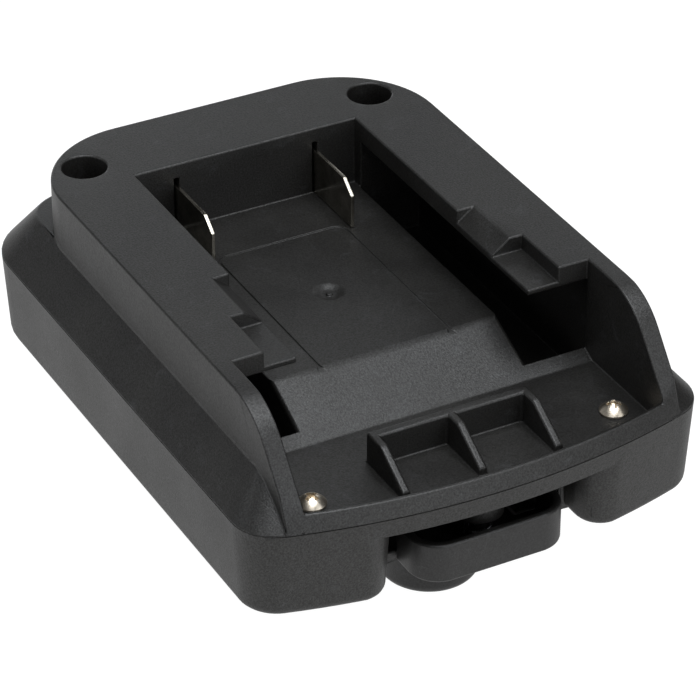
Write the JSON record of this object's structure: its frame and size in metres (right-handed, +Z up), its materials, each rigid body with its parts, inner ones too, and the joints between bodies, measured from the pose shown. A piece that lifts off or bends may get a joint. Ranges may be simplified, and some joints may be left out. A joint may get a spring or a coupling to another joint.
{
  "type": "tool battery adapter",
  "caption": "Black moulded adapter with a slide-in battery bay and contact blades on top, a rail foot for the tool below and a sprung release latch at the front.",
  "frame": {"origin": "centre of the outline in plan, on the plane that the rail foot rests on", "axes": "+Z up towards the battery bay, -Y towards the front with the release tab, X across"},
  "size_m": [0.0966, 0.1298, 0.055],
  "materials": {
    "cover_plastic": "moulded, fine spark-eroded texture",
    "base_plastic": "moulded, fine spark-eroded texture",
    "latch_plastic": "moulded, fine spark-eroded texture",
    "insulator": "moulded, satin",
    "nickel": "nickel-plated steel",
    "tinned_brass": "nickel-plated brass sheet",
    "spring_copper": "bare spring copper alloy",
    "spring_steel": "drawn spring wire",
    "wire_red": "silicone insulation",
    "wire_black": "silicone insulation",
    "sleeve_nylon": "natural nylon"
  },
  "bodies": {
    "housing": {"base_shell": "base_plastic", "top_cover": "cover_plastic", "latch_spring": "spring_steel", "front_screws": "nickel", "rear_screws": "nickel", "terminal_block": "insulator", "terminal_block_screws": "nickel", "blade_positive": "tinned_brass", "blade_negative": "tinned_brass", "blade_receptacle_positive": "spring_copper", "blade_receptacle_negative": "spring_copper", "blade_sleeve_positive": "sleeve_nylon", "blade_sleeve_negative": "sleeve_nylon", "wire_positive": "wire_red", "wire_negative": "wire_black", "clip_sleeve_positive": "sleeve_nylon", "clip_sleeve_negative": "sleeve_nylon", "clip_receptacle_positive": "spring_copper", "clip_receptacle_negative": "spring_copper", "clip_positive": "spring_copper", "clip_negative": "spring_copper", "clip_holder": "insulator", "clip_holder_screws": "nickel"},
    "latch": {"latch": "latch_plastic"}
  },
  "joints": [
    {"name": "latch_slide", "type": "slide", "parent": "housing", "child": "latch", "axis": [0, 0, 1], "range_m": [0, 0.0055], "stiffness_N_per_m": 900, "springref_m": -0.006, "deforming": ["latch_spring"]}
  ]
}
